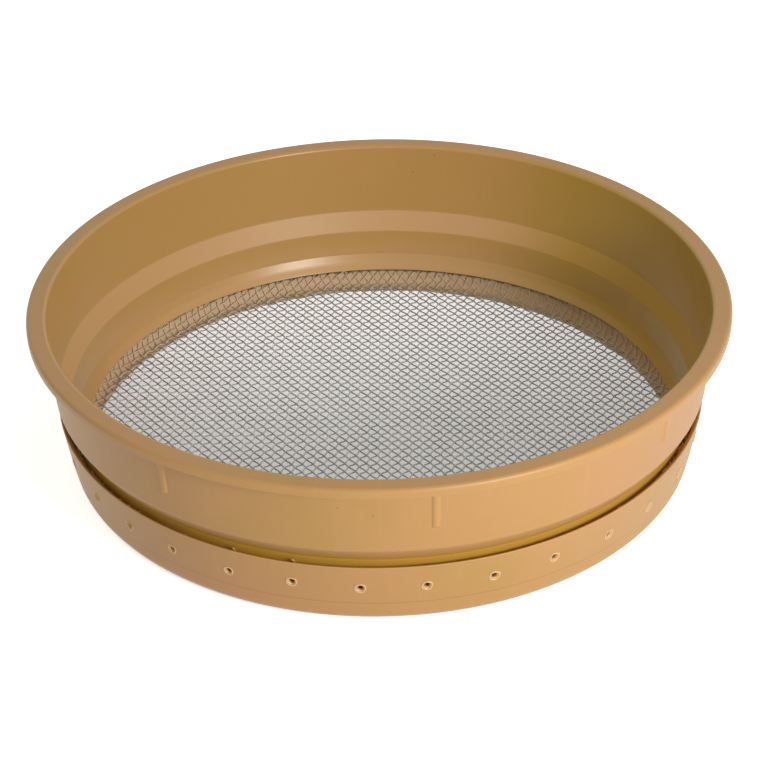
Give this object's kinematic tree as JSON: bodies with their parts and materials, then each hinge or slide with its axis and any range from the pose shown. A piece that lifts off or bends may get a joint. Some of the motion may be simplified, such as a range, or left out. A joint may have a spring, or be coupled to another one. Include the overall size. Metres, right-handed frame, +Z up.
{
  "type": "sand sieve",
  "caption": "Round hand sieve: a moulded hoop with a wide rim and inside ledges, a clamp band with punched holes under it, and woven wire cloth held between them.",
  "frame": {"origin": "centre of the bottom edge of the clamp band, on the surface that the sieve stands on", "axes": "+Z up along the hoop's axis; -Y towards the front, where a rib and a punched hole stand about 8 degrees towards +X"},
  "size_m": [0.4, 0.4, 0.0975],
  "materials": {
    "hoop_plastic": "satin moulded ochre plastic",
    "band_plastic": "satin moulded ochre plastic",
    "galvanised_wire": "zinc coated, slightly dull"
  },
  "bodies": {
    "root": {"hoop": "hoop_plastic", "clamp_band": "band_plastic", "warp_wires": "galvanised_wire", "weft_wires": "galvanised_wire", "cloth_edge": "galvanised_wire"}
  },
  "joints": []
}
